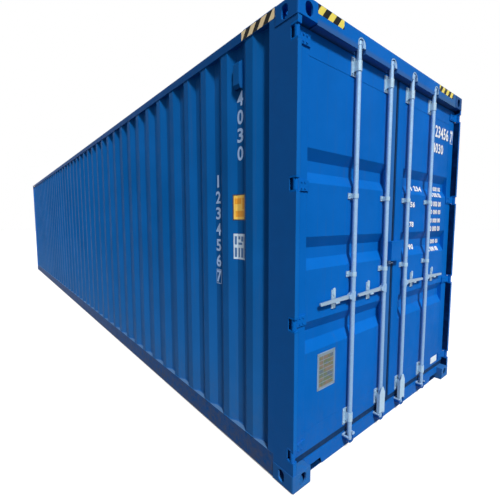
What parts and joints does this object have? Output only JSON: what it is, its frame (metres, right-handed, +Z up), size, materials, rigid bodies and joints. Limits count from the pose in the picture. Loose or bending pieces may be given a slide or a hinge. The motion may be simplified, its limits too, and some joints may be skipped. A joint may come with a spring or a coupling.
{
  "type": "40 ft high cube dry freight shipping container",
  "caption": "Long corrugated steel freight container with two hinged rear doors, locking bars, handles, corner castings and a plywood floor.",
  "frame": {"origin": "centre of the footprint, on the ground under the corner castings", "axes": "+X along the length towards the door end, +Y to the right door's side as seen from outside, +Z up"},
  "size_m": [12.192, 2.438, 2.896],
  "materials": {
    "blue_paint": "satin",
    "galvanised_steel": "satin",
    "handle_steel": "satin",
    "door_rubber": "matte",
    "plywood": "matte"
  },
  "bodies": {
    "frame": {"bottom_corner_castings": "blue_paint", "top_corner_castings": "blue_paint", "rear_corner_posts": "blue_paint", "hinge_lugs": "blue_paint", "front_corner_posts": "blue_paint", "bottom_side_rails": "blue_paint", "top_side_rails": "blue_paint", "door_header": "blue_paint", "door_sill": "blue_paint", "front_sill": "blue_paint", "front_header": "blue_paint", "right_side_wall": "blue_paint", "left_side_wall": "blue_paint", "front_wall": "blue_paint", "roof": "blue_paint", "roof_corner_plates": "blue_paint", "floor": "plywood", "cross_members": "blue_paint", "tunnel_outriggers": "blue_paint", "tunnel_top": "blue_paint", "tunnel_sides": "blue_paint", "header_cam_keepers": "galvanised_steel", "sill_cam_keepers": "galvanised_steel", "ventilators": "blue_paint"},
    "left_door": {"left_door_frame": "blue_paint", "left_door_panel": "blue_paint", "left_door_gasket": "door_rubber", "left_door_hinges": "blue_paint", "left_bar_brackets": "galvanised_steel", "left_handle_retainers": "galvanised_steel"},
    "right_door": {"right_door_frame": "blue_paint", "right_door_panel": "blue_paint", "right_door_gasket": "door_rubber", "right_door_hinges": "blue_paint", "right_bar_brackets": "galvanised_steel", "right_handle_retainers": "galvanised_steel", "lock_box": "blue_paint"},
    "left_outer_bar": {"left_outer_locking_bar": "galvanised_steel"},
    "left_outer_lever": {"left_outer_handle": "handle_steel"},
    "left_inner_bar": {"left_inner_locking_bar": "galvanised_steel"},
    "left_inner_lever": {"left_inner_handle": "handle_steel"},
    "right_outer_bar": {"right_outer_locking_bar": "galvanised_steel"},
    "right_outer_lever": {"right_outer_handle": "handle_steel"},
    "right_inner_bar": {"right_inner_locking_bar": "galvanised_steel"},
    "right_inner_lever": {"right_inner_handle": "handle_steel"}
  },
  "joints": [
    {"name": "left_door_hinge", "type": "hinge", "parent": "frame", "child": "left_door", "pos_m": [6.072, -1.2, 0], "axis": [0, 0, 1], "range_deg": [-260, 0]},
    {"name": "right_door_hinge", "type": "hinge", "parent": "frame", "child": "right_door", "pos_m": [6.072, 1.2, 0], "axis": [0, 0, 1], "range_deg": [0, 260]},
    {"name": "left_outer_bar_turn", "type": "hinge", "parent": "left_door", "child": "left_outer_bar", "pos_m": [6.073, -0.6, 0], "axis": [0, 0, 1], "range_deg": [0, 95]},
    {"name": "left_outer_handle_lift", "type": "hinge", "parent": "left_outer_bar", "child": "left_outer_lever", "pos_m": [6.073, -0.638, 1.145], "axis": [-1, 0, 0], "range_deg": [0, 12]},
    {"name": "left_inner_bar_turn", "type": "hinge", "parent": "left_door", "child": "left_inner_bar", "pos_m": [6.073, -0.172, 0], "axis": [0, 0, 1], "range_deg": [0, 95]},
    {"name": "left_inner_handle_lift", "type": "hinge", "parent": "left_inner_bar", "child": "left_inner_lever", "pos_m": [6.073, -0.21, 1.145], "axis": [-1, 0, 0], "range_deg": [0, 12]},
    {"name": "right_outer_bar_turn", "type": "hinge", "parent": "right_door", "child": "right_outer_bar", "pos_m": [6.073, 0.6, 0], "axis": [0, 0, 1], "range_deg": [-95, 0]},
    {"name": "right_outer_handle_lift", "type": "hinge", "parent": "right_outer_bar", "child": "right_outer_lever", "pos_m": [6.073, 0.638, 1.145], "axis": [1, 0, 0], "range_deg": [0, 12]},
    {"name": "right_inner_bar_turn", "type": "hinge", "parent": "right_door", "child": "right_inner_bar", "pos_m": [6.073, 0.172, 0], "axis": [0, 0, 1], "range_deg": [-95, 0]},
    {"name": "right_inner_handle_lift", "type": "hinge", "parent": "right_inner_bar", "child": "right_inner_lever", "pos_m": [6.073, 0.21, 1.145], "axis": [1, 0, 0], "range_deg": [0, 12]}
  ]
}
